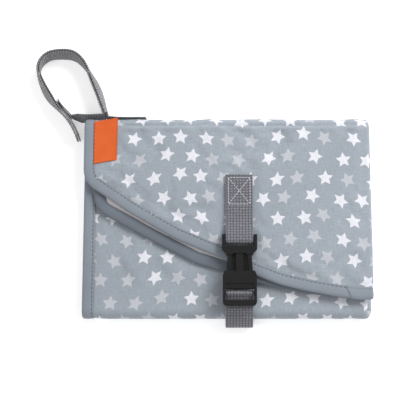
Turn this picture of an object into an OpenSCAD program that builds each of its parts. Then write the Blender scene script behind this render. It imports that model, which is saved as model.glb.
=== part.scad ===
// Folded travel changing pad: a quilted mat folded in half and then in thirds, closed by an
// envelope flap with a side-release buckle, and carried by a hook-and-loop wrist strap.
// The pad lies on its back. The origin is the centre of its underside, X runs along the
// top fold, Y runs from the bottom fold to the top fold and Z points up.

/* [Folded pad] */
// Width of the folded pad, from the bound edges to the centre fold
pad_w = 270; // [240:1:320]
// Height of the folded pad, from the bottom fold to the top fold
pad_h = 190; // [170:1:230]
// Thickness of the foam in one layer
foam_t = 3; // [2:0.25:4]
// Thickness of the printed cloth, and of the lining
cloth_t = 0.5; // [0.3:0.05:0.8]
// How far the front panel's centre fold stands back from the flap's
front_step = 5; // [2:0.5:10]

/* [Binding] */
// Visible width of the edge binding
bind_w = 11; // [8:0.5:14]
// Thickness of the binding round the quilt's pressed edge
bind_t = 1; // [0.6:0.1:1.2]

/* [Straps] */
// Width of the closing strap
strap_w = 25.4; // [20:0.1:27]
// Thickness of the webbing
web_t = 1.5; // [1.2:0.1:1.6]
// Place of the strap and buckle along the top fold, from the middle
strap_x = 11; // [-40:1:40]
// Width of the wrist strap
wrist_w = 19; // [15:0.5:19]

/* [Buckle] */
// Outside width of the socket
socket_w = 31; // [30:0.5:33]
// Height of the buckle over its back
buckle_t = 10; // [9:0.5:11]
// Diameter of the two strap bars
bar_d = 3.6; // [3:0.2:4]

/* [Label] */
// Width of the woven label
label_w = 21; // [15:1:28]
// Height of the woven label
label_h = 41; // [25:1:46]

/* [Hidden] */
$fn = 96;

// Colours
c_print = "#a5adb4";
c_foam = "#f4f1ea";
c_lining = "#dcd6d8";
c_bind = "#8f989f";
c_web = "#86848a";
c_wrist = "#6b6b6e";
c_plastic = "#1b1b1d";
c_thread = "#d8d8dc";
c_label = "#ee6524";

// One quilted layer, and the small gaps between layers
layer_t = foam_t + 2 * cloth_t;
fold_gap = 0.2;
panel_gap = 0.4;
flap_gap = 0.6;
// A pair is the mat's two halves, lying one on the other with the lining inside
pair_t = 2 * layer_t + fold_gap;
back_z = 0;
front_z = pair_t + panel_gap;
flap_z = front_z + pair_t + flap_gap;
front_top = front_z + pair_t;
flap_top = flap_z + pair_t;

// Edges of the panels: left is bound, right is the centre fold
left_x = -pad_w / 2;
pair_r = pair_t / 2;
back_x = pad_w / 2 - pair_r;
front_x = back_x - front_step;
bottom_r = front_top / 2;
bottom_y = -pad_h / 2 + bottom_r;
top_r = flap_top / 2;
top_y = pad_h / 2 - top_r;
front_edge_y = top_y - 12;
// The top fold is fixed up to this angle, and bends with the flap above it
crown_a = 30;

// Plies of a layer, as depths below its printed face
shell_d = [0, cloth_t];
foam_d = [cloth_t, cloth_t + foam_t];
lining_d = [cloth_t + foam_t, layer_t];
all_d = [0, layer_t];

// Strap and buckle levels
buckle_z = flap_top + 0.6;
mid_z = buckle_z + buckle_t / 2;
plug_y = -24;
mouth_y = -53;
socket_end = -85;
rod_y = -73;
arm_t = 5;
pocket_w = strap_w + 1.2;
pocket_t = web_t + 0.1;
pocket_top_y = -38;

// Points along a circular arc
function arc(c, r, a0, a1, n = 8) =
    [for (i = [0:n]) let (a = a0 + (a1 - a0) * i / n) [c[0] + r * cos(a), c[1] + r * sin(a)]];

function reversed(p) = [for (i = [len(p) - 1:-1:0]) p[i]];

function unit(v) = v / norm(v);

// A path moved d to its left, with mitred corners
function moved(p, d) = [
    for (i = [0:len(p) - 1])
        let (
            a = unit(p[max(i, 1)] - p[max(i, 1) - 1]),
            b = unit(p[min(i + 1, len(p) - 1)] - p[min(i, len(p) - 2)]),
            n = [-(a[1] + b[1]), a[0] + b[0]] / (1 + a * b)
        )
        p[i] + d * n
];

// A smooth curve through hand-set points (Catmull-Rom)
function spline_point(a, b, c, d, t) =
    0.5 * (2 * b + (c - a) * t + (2 * a - 5 * b + 4 * c - d) * t * t
        + (3 * b - a - 3 * c + d) * t * t * t);
function smooth(p, n = 4) = concat(
    [for (i = [0:len(p) - 2]) for (k = [0:n - 1])
        spline_point(p[max(i - 1, 0)], p[i], p[i + 1], p[min(i + 2, len(p) - 1)], k / n)],
    [p[len(p) - 1]]
);

// Outline of a band of tape that follows a path, from d0 to d1 on its left
function band(p, d0, d1) = concat(moved(p, d0), reversed(moved(p, d1)));

// Bound edges, each run with the cloth on its left
back_edge = [[left_x, top_y], [left_x, bottom_y]];
front_edge = concat(
    [[front_x, front_edge_y]],
    arc([left_x + 15, front_edge_y - 15], 15, 90, 180),
    [[left_x, bottom_y]]
);
flap_end_y = -78;
outer_edge = concat(
    [[left_x, top_y]],
    arc([left_x + 22, 44], 22, 180, 235),
    [[-92, 3], [-49, -22], [-4, -41], [24, -55.5], [48, -64.5], [71, -70], [98, -75],
        [120, flap_end_y], [back_x, flap_end_y]]
);
inner_edge = concat(
    [[left_x + 4, top_y], [left_x + 4, 42]],
    arc([left_x + 28, 17], 17.5, 180, 245),
    [[-72.5, -20], [-31, -41.5], [25, -62], [48, -67.5], [75, -72.5],
        [118, flap_end_y + 0.5], [back_x, flap_end_y + 0.5]]
);

// Strap runs, as points in the Y-Z plane
upper_back_run = [
    [38, flap_top + 0.2 + web_t / 2], [0, flap_top + 0.2 + web_t / 2],
    [-12, flap_top + 0.3 + web_t / 2], [plug_y + 5, mid_z - 3.6]
];
upper_front_run = [
    [plug_y + 5, mid_z + 1.5], [-12, flap_top + 3.1 + web_t], [0, flap_top + 0.4 + 1.5 * web_t],
    [38, flap_top + 0.4 + 1.5 * web_t]
];
rod_z = mid_z - 1;
lower_front_run = [
    [rod_y - 4.4, rod_z - 1.2], [rod_y - 7, rod_z - 2.7], [rod_y - 13, rod_z - 4.2],
    [-90, 23], [-93.5, 20.6]
];
lower_tail_run = [
    [rod_y + 2.45, rod_z - 0.3], [rod_y + 1.9, rod_z - 2.4], [rod_y - 1.2, rod_z - 4.2],
    [rod_y - 6, rod_z - 4.9], [rod_y - 13, rod_z - 6.5],
    [-89, 20.4], [-93, 17.6]
];
lower_loop_run = [
    [-93.9, 20.2], [-98, 17], [-101.8, 12.5], [-102.5, 7.5], [-100.5, 3.2], [-96.5, 1.1],
    [-92, 0.05 + web_t / 2], [-88.1, 0.05 + web_t / 2]
];

// Wrist strap routes, seen from above
wrist_route = [
    [-116.4, 99], [-120, 110], [-125.5, 126.5], [-133.5, 143], [-141, 154], [-150, 160.3],
    [-163, 161.3], [-173.5, 159], [-180.5, 152], [-182, 143.5], [-178.3, 132], [-172, 120],
    [-162.7, 108.3], [-153.6, 98.5], [-147.5, 89.5], [-142.4, 78]
];
short_route = [[-122, 97.4], [-128, 97], [-137, 96.9], [-144.5, 97.9]];
tape_run = smooth(wrist_route);
// The stretch of the long strap that the short strap closes on
hook_run = [for (i = [47:53]) tape_run[i]];

// Part of a pair of layers between two depths below the printed faces, with its right fold
module ply(z, low, high, x, y0, y1, d) {
    t = d[1] - d[0];
    translate([0, 0, z + d[0]])
        linear_extrude(t) polygon(low);
    translate([0, 0, z + pair_t - d[1]])
        linear_extrude(t) polygon(high);
    translate([x, y0, z + pair_r]) rotate([-90, 0, 0])
        half_ring(pair_r - d[0], pair_r - d[1], y1 - y0);
}

// Half of a tube along +Z, on its +X side
module half_ring(r1, r2, length) {
    difference() {
        cylinder(h = length, r = r1);
        translate([0, 0, -1]) cylinder(h = length + 2, r = r2);
        translate([-2 * r1, -2 * r1, -1]) cube([2 * r1, 4 * r1, length + 2]);
    }
}

// Outline of the quilt inside a bound edge, closed along the folds
function field(edge, corners) = concat(moved(edge, bind_w), corners);

// The quilt's pressed edge, held inside the binding
module tongue(z, edge) {
    translate([0, 0, z + bind_t])
        linear_extrude(layer_t - 2 * bind_t) polygon(band(edge, 1.2, bind_w + 0.5));
}

// Binding folded round the edge of one layer
module binding(z, edge) {
    difference() {
        translate([0, 0, z]) linear_extrude(layer_t) polygon(band(edge, 0, bind_w));
        translate([0, 0, z + bind_t - 0.05])
            linear_extrude(layer_t - 2 * bind_t + 0.1) polygon(band(edge, 1.1, bind_w + 1));
    }
}

// Tube round the X axis, used for the folds, from x0 to x1 and between two angles from +Y
module fold_ring(y, z, r1, r2, x0, x1, a0, a1) {
    translate([x0, y, z]) rotate([90, 0, 90]) intersection() {
        difference() {
            cylinder(h = x1 - x0, r = r1);
            translate([0, 0, -1]) cylinder(h = x1 - x0 + 2, r = r2);
        }
        linear_extrude(x1 - x0) polygon(concat([[0, 0]], arc([0, 0], 3 * r1, a0, a1, 12)));
    }
}

// Webbing that follows a run in the Y-Z plane
module webbing(run, w, t) {
    translate([strap_x - w / 2, 0, 0]) rotate([90, 0, 90])
        linear_extrude(w) polygon(band(run, -t / 2, t / 2));
}

// Tape on edge that follows a route seen from above
module upright_tape(route, d0, d1, z0, w) {
    translate([0, 0, z0]) linear_extrude(w) polygon(band(route, d0, d1));
}

back_corners = [[back_x, bottom_y], [back_x, top_y]];
flap_corners = [[back_x, top_y]];
front_corners = [[front_x, bottom_y]];

module back_ply(d) {
    field_pts = field(back_edge, back_corners);
    ply(back_z, field_pts, field_pts, back_x, bottom_y, top_y, d);
}

module front_ply(d) {
    field_pts = field(front_edge, front_corners);
    ply(front_z, field_pts, field_pts, front_x, bottom_y, front_edge_y - bind_w, d);
}

module flap_ply(d) {
    ply(flap_z, field(inner_edge, flap_corners), field(outer_edge, flap_corners),
        back_x, flap_end_y + bind_w, top_y, d);
}

// The shallow place under the back panel where the lower strap is sewn on
module strap_pocket(grow) {
    translate([strap_x - pocket_w / 2 - grow, bottom_y - 0.01, -0.01])
        cube([pocket_w + 2 * grow, pocket_top_y - bottom_y + grow, pocket_t + grow]);
}

module back_shell() color(c_print) {
    difference() {
        union() {
            back_ply(shell_d);
            intersection() {
                strap_pocket(cloth_t);
                translate([-pad_w, bottom_y, 0]) cube([2 * pad_w, pad_h, layer_t]);
            }
        }
        strap_pocket(0);
    }
}

module back_foam() color(c_foam) {
    difference() {
        back_ply(foam_d);
        strap_pocket(cloth_t);
    }
    tongue(back_z, back_edge);
    tongue(back_z + layer_t + fold_gap, back_edge);
}

module back_lining() color(c_lining) back_ply(lining_d);

module back_outer_binding() color(c_bind) binding(back_z, back_edge);

module back_inner_binding() color(c_bind) binding(back_z + layer_t + fold_gap, back_edge);

module front_shell() color(c_print) front_ply(shell_d);

module front_foam() color(c_foam) {
    front_ply(foam_d);
    tongue(front_z, front_edge);
    tongue(front_z + layer_t + fold_gap, front_edge);
}

module front_lining() color(c_lining) front_ply(lining_d);

module front_inner_binding() color(c_bind) binding(front_z, front_edge);

module front_outer_binding() color(c_bind) binding(front_z + layer_t + fold_gap, front_edge);

// The two layers that wrap a fold: the outer one has its print outside, the inner one inside
module wrap(y, z, r, x0, x1, a0, a1, d) {
    fold_ring(y, z, r - d[0], r - d[1], x0, x1, a0, a1);
    inner_r = r - 2 * layer_t - fold_gap;
    fold_ring(y, z, inner_r + d[1], inner_r + d[0], x0, x1, a0, a1);
}

module bottom_wrap(x0, x1, d) {
    wrap(bottom_y, front_top / 2, bottom_r, x0, x1, -90, -270, d);
}

module bottom_fold_shell() color(c_print) difference() {
    bottom_wrap(left_x + bind_w, front_x, shell_d);
    translate([strap_x - pocket_w / 2, bottom_y - 6, -1]) cube([pocket_w, 6.01, 1 + pocket_t]);
}

module bottom_fold_foam() color(c_foam) difference() {
    bottom_wrap(left_x + bind_w, front_x, foam_d);
    translate([strap_x - pocket_w / 2, bottom_y - 6, -1]) cube([pocket_w, 6.01, 1 + pocket_t]);
}

module bottom_fold_lining() color(c_lining) bottom_wrap(left_x + bind_w, front_x, lining_d);

module bottom_fold_binding() color(c_bind) bottom_wrap(left_x, left_x + bind_w, all_d);

module top_wrap(x0, x1, d) wrap(top_y, top_r, top_r, x0, x1, -90, crown_a, d);

module crown_wrap(x0, x1, d) wrap(top_y, top_r, top_r, x0, x1, crown_a, 90, d);

module top_fold_shell() color(c_print) top_wrap(left_x + bind_w, back_x, shell_d);

module top_fold_foam() color(c_foam) top_wrap(left_x + bind_w, back_x, foam_d);

module top_fold_lining() color(c_lining) top_wrap(left_x + bind_w, back_x, lining_d);

module top_fold_binding() color(c_bind) top_wrap(left_x, left_x + bind_w, all_d);

module crown_shell() color(c_print) crown_wrap(left_x + bind_w, back_x, shell_d);

module crown_foam() color(c_foam) crown_wrap(left_x + bind_w, back_x, foam_d);

module crown_lining() color(c_lining) crown_wrap(left_x + bind_w, back_x, lining_d);

module crown_binding() color(c_bind) crown_wrap(left_x, left_x + bind_w, all_d);

module flap_shell() color(c_print) flap_ply(shell_d);

module flap_foam() color(c_foam) {
    flap_ply(foam_d);
    tongue(flap_z, inner_edge);
    tongue(flap_z + layer_t + fold_gap, outer_edge);
}

module flap_lining() color(c_lining) flap_ply(lining_d);

module flap_inner_binding() color(c_bind) binding(flap_z, inner_edge);

module flap_outer_binding() color(c_bind) binding(flap_z + layer_t + fold_gap, outer_edge);

// Woven label, sewn by its left edge into the flap's binding seam
module label() color(c_label)
    translate([left_x + bind_w - 0.5, 49, flap_top + 0.05]) linear_extrude(0.7)
        polygon([[0, 0], [label_w - 0.5, 3.5], [label_w + 0.5, label_h + 3.5], [0, label_h]]);

// Webbing folded double round the plug's bar and sewn down on the flap
module upper_strap() color(c_web) {
    webbing(concat(
        smooth(upper_back_run),
        arc([plug_y, rod_z + 0.2], bar_d / 2 + 0.2 + web_t / 2, -72, -252, 12),
        smooth(upper_front_run)
    ), strap_w, web_t);
}

// A row of stitches from one point to another on the strap
module stitch_row(p0, p1, pitch) {
    run = p1 - p0;
    n = floor(norm(run) / pitch);
    for (i = [0:n - 1])
        translate([each (p0 + run * (i + 0.5) / n), flap_top + 0.4 + 2 * web_t])
            rotate([0, 0, atan2(run[1], run[0])])
                translate([-pitch * 0.32, -0.3, 0]) cube([pitch * 0.64, 0.6, 0.3]);
}

// Box stitch with a cross, and the row that closes it
module strap_stitches() color(c_thread) {
    x0 = strap_x - strap_w / 2 + 2.5;
    x1 = strap_x + strap_w / 2 - 2.5;
    y0 = 10;
    y1 = 35;
    stitch_row([x0, y1], [x1, y1], 2.6);
    stitch_row([x0, y0], [x1, y0], 2.6);
    stitch_row([x0, y0 + 2], [x0, y1 - 2], 2.6);
    stitch_row([x1, y0 + 2], [x1, y1 - 2], 2.6);
    stitch_row([x0 + 1.5, y0 + 2], [x1 - 1.5, y1 - 2], 2.6);
    stitch_row([x0 + 1.5, y1 - 2], [strap_x - 1.6, (y0 + y1) / 2 + 1.8], 2.6);
    stitch_row([strap_x + 1.6, (y0 + y1) / 2 - 1.8], [x1 - 1.5, y0 + 2], 2.6);
}

// Frame with two ears, the strap bar, and the guide tongue between the arms
module plug_body() color(c_plastic) translate([strap_x, 0, 0]) {
    for (s = [-1, 1])
        translate([s * (strap_w / 2 + 1.9) - 1.5, -33, buckle_z + 0.4])
            cube([3, 14, buckle_t - 2.4]);
    translate([-strap_w / 2 - 1, plug_y, rod_z + 0.2]) rotate([0, 90, 0])
        cylinder(h = strap_w + 2, d = bar_d);
    translate([0, 0, buckle_z + 0.4]) linear_extrude(buckle_t - 2.4)
        polygon([[-16, -29.5], [16, -29.5], [16, -33], [12.5, -36.5], [12.5, -38],
            [6, -38], [6, -36.5], [-6, -36.5], [-6, -38], [-12.5, -38], [-12.5, -36.5],
            [-16, -33]]);
    translate([-3.5, -65, mid_z - 1.8]) cube([7, 29, 3.6]);
}

// Spring arm with its latching shoulder, for the right side
module plug_arm() {
    translate([0, 0, mid_z - arm_t / 2]) linear_extrude(arm_t)
        polygon(concat(
            [[7.2, -38.1], [11, -38.1], [11.6, -46], [12.2, -53]],
            [[12.6, -57.6], [14.8, -58.2], [15.2, -61.5]],
            arc([11, -64.5], 4.4, 10, -60, 6),
            [[10.2, -68.6], [9.2, -62], [8.4, -50]]
        ));
}

module plug_arm_right() color(c_plastic) translate([strap_x, 0, 0]) plug_arm();

module plug_arm_left() color(c_plastic) translate([strap_x, 0, 0]) mirror([1, 0, 0]) plug_arm();

// Hollow body that the plug enters, with side windows, a strap slot and a strap bar
module socket() color(c_plastic) translate([strap_x, 0, 0]) {
    half = socket_w / 2;
    slot_w = strap_w + 0.8;
    difference() {
        translate([0, 0, buckle_z]) linear_extrude(buckle_t)
            polygon(concat(
                [[-half + 1.5, mouth_y], [half - 1.5, mouth_y], [half, mouth_y - 4]],
                arc([half - 4, socket_end + 4], 4, 0, -90),
                arc([-half + 4, socket_end + 4], 4, -90, -180),
                [[-half, mouth_y - 4]]
            ));
        // mouth and chamber for the arms
        translate([-half + 2, -66.5, mid_z - 3.2]) cube([socket_w - 4, 20, 6.4]);
        translate([-13.5, -69.4, mid_z - 3.2]) cube([27, 10, 6.4]);
        // side windows for the shoulders
        translate([-half - 1, -69.5, mid_z - 3.2]) cube([socket_w + 2, 12, 6.4]);
        // strap slot, open from top to bottom
        translate([-slot_w / 2, rod_y - 6.5, buckle_z - 1]) cube([slot_w, 10.3, buckle_t + 2]);
        // passage for the strap under the end bar
        translate([-slot_w / 2, socket_end - 1, buckle_z - 1]) cube([slot_w, 8, 5.2]);
        // step in the top face above the slot
        translate([-slot_w / 2, rod_y + 3, mid_z + 3.8]) cube([slot_w, 5.5, 9]);
    }
    translate([-strap_w / 2 - 1, rod_y, rod_z]) rotate([0, 90, 0])
        cylinder(h = strap_w + 2, d = bar_d - 0.6);
}

// Webbing from the socket's bar down over the bottom edge
module lower_strap_front() color(c_web)
    webbing(concat(
        arc([rod_y, rod_z], bar_d / 2 - 0.3 + 0.2 + web_t / 2, 0, 168, 12),
        smooth(lower_front_run)
    ), strap_w, web_t);

// The strap's free end, coming back under the run
module lower_strap_tail() color(c_web)
    webbing(smooth(lower_tail_run), strap_w, web_t);

// Slack loop round the bottom fold
module lower_strap_loop() color(c_web) webbing(smooth(lower_loop_run), strap_w, web_t);

// End of the strap, sewn flat under the back panel
module lower_strap_back() color(c_web)
    translate([strap_x - strap_w / 2, -88, 0.05]) cube([strap_w, pocket_top_y - 1 + 88, web_t]);

// Webbing sewn along the top fold, where the wrist strap starts
module wrist_base() color(c_wrist)
    upright_tape([[-77, 95.9], [-103, 95.9], [-114, 97.2]], -web_t / 2, web_t / 2, 1, wrist_w);

module wrist_outer_tape() color(c_wrist)
    upright_tape(tape_run, -1.4, -0.1, 0.5, wrist_w);

module wrist_inner_tape() color(c_wrist)
    upright_tape(tape_run, 0.1, 1.4, 0.5, wrist_w);

// Hook tape on the inside of the long strap's end
module wrist_hook_patch() color(c_wrist)
    upright_tape(hook_run, 1.45, 2.2, 2, wrist_w - 3);

module wrist_short_strap() color(c_wrist)
    upright_tape(
        smooth(concat(short_route, reversed(moved(hook_run, 4)))),
        -web_t / 2, web_t / 2, 0.5, wrist_w);

// Loop tape on the short strap's end
module wrist_loop_patch() color(c_wrist)
    upright_tape(hook_run, 2.25, 3, 2, wrist_w - 3);

back_shell();
back_foam();
back_lining();
back_outer_binding();
back_inner_binding();
front_shell();
front_foam();
front_lining();
front_inner_binding();
front_outer_binding();
bottom_fold_shell();
bottom_fold_foam();
bottom_fold_lining();
bottom_fold_binding();
top_fold_shell();
top_fold_foam();
top_fold_lining();
top_fold_binding();
crown_shell();
crown_foam();
crown_lining();
crown_binding();
flap_shell();
flap_foam();
flap_lining();
flap_inner_binding();
flap_outer_binding();
label();
upper_strap();
strap_stitches();
plug_body();
plug_arm_left();
plug_arm_right();
socket();
lower_strap_front();
lower_strap_tail();
lower_strap_loop();
lower_strap_back();
wrist_base();
wrist_outer_tape();
wrist_inner_tape();
wrist_hook_patch();
wrist_short_strap();
wrist_loop_patch();
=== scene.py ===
"""Looks of the folded changing pad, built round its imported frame.

Cloth pieces are laid out in cloth coordinates and then wrapped into space. w runs across the
whole mat: over one half, round the centre fold and back over the other half. v runs along
the mat, round the bottom or the top fold. Depth is measured down from the printed face.
"""
import math

import bmesh
import bpy
import numpy as np
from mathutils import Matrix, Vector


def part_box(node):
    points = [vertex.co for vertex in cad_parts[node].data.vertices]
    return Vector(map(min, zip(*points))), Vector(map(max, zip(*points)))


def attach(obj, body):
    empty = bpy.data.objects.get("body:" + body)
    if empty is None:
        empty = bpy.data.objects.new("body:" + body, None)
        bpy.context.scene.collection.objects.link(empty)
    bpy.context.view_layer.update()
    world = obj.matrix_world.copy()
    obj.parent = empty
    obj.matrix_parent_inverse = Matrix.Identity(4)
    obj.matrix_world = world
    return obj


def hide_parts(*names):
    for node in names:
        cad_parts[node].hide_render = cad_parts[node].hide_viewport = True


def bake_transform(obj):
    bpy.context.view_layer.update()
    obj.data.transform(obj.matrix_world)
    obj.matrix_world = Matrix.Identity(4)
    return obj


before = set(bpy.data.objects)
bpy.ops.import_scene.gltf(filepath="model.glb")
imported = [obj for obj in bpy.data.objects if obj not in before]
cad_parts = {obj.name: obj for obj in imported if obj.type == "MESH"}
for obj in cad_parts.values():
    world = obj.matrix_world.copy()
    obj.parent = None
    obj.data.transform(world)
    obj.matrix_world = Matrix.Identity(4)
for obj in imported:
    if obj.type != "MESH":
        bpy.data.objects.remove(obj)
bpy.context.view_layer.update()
MM = 0.001
scene = bpy.context.scene


# ------------ sizes, from the frame

def low(node):
    return np.array(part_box(node)[0])


def high(node):
    return np.array(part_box(node)[1])


LEFT_X = low("back_outer_binding")[0]
BIND_W = high("back_outer_binding")[0] - LEFT_X
LAYER = high("back_outer_binding")[2] - low("back_outer_binding")[2]
PAIR = high("back_shell")[2]
FOLD_R = PAIR / 2
FOLD_LEN = math.pi * FOLD_R
BACK_X = high("back_shell")[0] - FOLD_R
FRONT_X = high("front_shell")[0] - FOLD_R
TOP_Y = high("back_shell")[1]
BOTTOM_Y = low("back_shell")[1]
BOTTOM_R = high("front_shell")[2] / 2
FLAP_TOP = high("flap_shell")[2]
TOP_R = FLAP_TOP / 2
FRONT_EDGE_Y = high("front_outer_binding")[1]
STRAP_X = (low("lower_strap_back")[0] + high("lower_strap_back")[0]) / 2
STRAP_W = high("lower_strap_back")[0] - low("lower_strap_back")[0]
STRAP_END_Y = high("lower_strap_back")[1]
WEB_T = high("lower_strap_back")[2] - low("lower_strap_back")[2]
WRIST_Z = (low("wrist_outer_tape")[2] + high("wrist_outer_tape")[2]) / 2
WRIST_W = high("wrist_outer_tape")[2] - low("wrist_outer_tape")[2]

# Lengths along the mat where its folds begin and end, and where the pad's part of the top
# fold meets the flap's
BACK_V = TOP_Y - BOTTOM_Y
FRONT_V = BACK_V + math.pi * BOTTOM_R
CROWN_V = math.pi * TOP_R
SPLIT_V = CROWN_V / 2
# How flat the quilt is pressed in its binding, how far its edge is from the bound edge, and
# over what width the relief dies away towards the centre fold
PRESSED = 0.52
TUCK = 1.5 * MM
FOLD_FADE = 12 * MM
# A length along the mat that is past every fold
FAR = 1.0


# ------------ curve tools

def arc(cx, cy, r, a0, a1, n=10):
    """Points on a circle from angle a0 to a1, in degrees."""
    turn = np.radians(np.linspace(a0, a1, n + 1))
    return [(cx + r * math.cos(t), cy + r * math.sin(t)) for t in turn]


def unit(v):
    return v / np.maximum(np.linalg.norm(v, axis=-1, keepdims=True), 1e-12)


def coords(*parts):
    """Coordinates side by side, from arrays that broadcast together."""
    return np.stack(np.broadcast_arrays(*parts), axis=-1)


def lengths(p):
    """Length along a path at each of its points."""
    return np.concatenate([[0], np.cumsum(np.linalg.norm(np.diff(p, axis=0), axis=1))])


def resample(points, step):
    """Points at equal steps along a path of any dimension."""
    p = np.array(points, float)
    s = lengths(p)
    at = np.linspace(0, s[-1], max(int(round(s[-1] / step)), 2) + 1)
    return np.stack([np.interp(at, s, p[:, k]) for k in range(p.shape[1])], axis=1)


def spline(points, n=8):
    """Catmull-Rom curve through given points."""
    p = np.array(points, float)
    q = np.vstack([p[:1], p, p[-1:]])
    t = np.linspace(0, 1, n, endpoint=False)[:, None]
    runs = []
    for i in range(len(p) - 1):
        a, b, c, d = q[i:i + 4]
        runs.append(0.5 * (2 * b + (c - a) * t + (2 * a - 5 * b + 4 * c - d) * t ** 2
                           + (3 * b - a - 3 * c + d) * t ** 3))
    return np.vstack(runs + [p[-1:]])


def softened(points, step, reach=5 * MM):
    """A path at equal steps, with its corners rounded over the given reach."""
    p = resample(points, MM)
    n = int(round(reach / MM))
    before = 2 * p[:1] - p[n:0:-1]
    after = 2 * p[-1:] - p[-2:-n - 2:-1]
    long = np.vstack([before, p, after])
    kernel = np.hanning(2 * n + 3)[1:-1]
    kernel = kernel / kernel.sum()
    smooth = [np.convolve(long[:, k], kernel, "valid") for k in range(p.shape[1])]
    return resample(np.stack(smooth, axis=1), step)


def ease(t):
    """A smooth step from 0 to 1."""
    t = np.clip(t, 0, 1)
    return t * t * (3 - 2 * t)


def right_normals(p):
    """Unit vectors to the right of a plane path."""
    d = unit(np.gradient(p, axis=0))
    return coords(d[:, 1], -d[:, 0])


def nearest(path, w, v):
    """Distance from each point to a path, and how far along the path it is nearest."""
    best = np.full(w.shape, 1e9)
    along = np.zeros(w.shape)
    s = lengths(path)
    for i in range(len(path) - 1):
        a, d = path[i], path[i + 1] - path[i]
        t = np.clip(((w - a[0]) * d[0] + (v - a[1]) * d[1]) / (d @ d + 1e-18), 0, 1)
        gap = np.hypot(w - a[0] - t * d[0], v - a[1] - t * d[1])
        closer = gap < best
        best = np.where(closer, gap, best)
        along = np.where(closer, s[i] + t * (s[i + 1] - s[i]), along)
    return best, along


def waves(seed, count, amount, shortest, longest):
    """A smooth random height field, the same on every run."""
    rng = np.random.default_rng(seed)
    k = 2 * math.pi / rng.uniform(shortest, longest, count)
    a = rng.uniform(0, 2 * math.pi, count)
    phase = rng.uniform(0, 2 * math.pi, count)

    def field(w, v):
        total = 0 * (w + v)
        for i in range(count):
            total = total + np.sin(k[i] * (w * math.cos(a[i]) + v * math.sin(a[i])) + phase[i])
        return amount / math.sqrt(count) * total
    return field


# ------------ cloth coordinates

def pad_wrap(x, v, h):
    """Lower top fold, back panel, bottom fold and front panel, in that order along v."""
    turn = np.clip((v - BACK_V) / BOTTOM_R, 0, math.pi)
    r = BOTTOM_R - h
    y = np.where(v < BACK_V, TOP_Y - v, BOTTOM_Y - r * np.sin(turn))
    y = np.where(v > FRONT_V, BOTTOM_Y + v - FRONT_V, y)
    z = BOTTOM_R - r * np.cos(turn)
    y = np.where(v < 0, TOP_Y + (TOP_R - h) * np.sin(-v / TOP_R), y)
    z = np.where(v < 0, TOP_R - (TOP_R - h) * np.cos(v / TOP_R), z)
    return coords(x, y, z)


def flap_wrap(x, v, h):
    """Top fold and flap."""
    turn = np.clip(v / TOP_R, 0, math.pi)
    r = TOP_R - h
    y = np.where(v > CROWN_V, TOP_Y - (v - CROWN_V), TOP_Y + r * np.sin(turn))
    return coords(x, y, TOP_R - r * np.cos(turn))


def pad_fold_x(v):
    """Where the pad's centre fold begins: further in on the front panel than on the back."""
    return BACK_X + (FRONT_X - BACK_X) * ease((v - BACK_V) / (FRONT_V - BACK_V))


def flap_fold_x(v):
    return BACK_X + 0 * v


def pad_v(y):
    """The v of a place on the front panel."""
    return FRONT_V + y - BOTTOM_Y


def flap_v(y):
    """The v of a place on the flap."""
    return CROWN_V + TOP_Y - y


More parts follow.
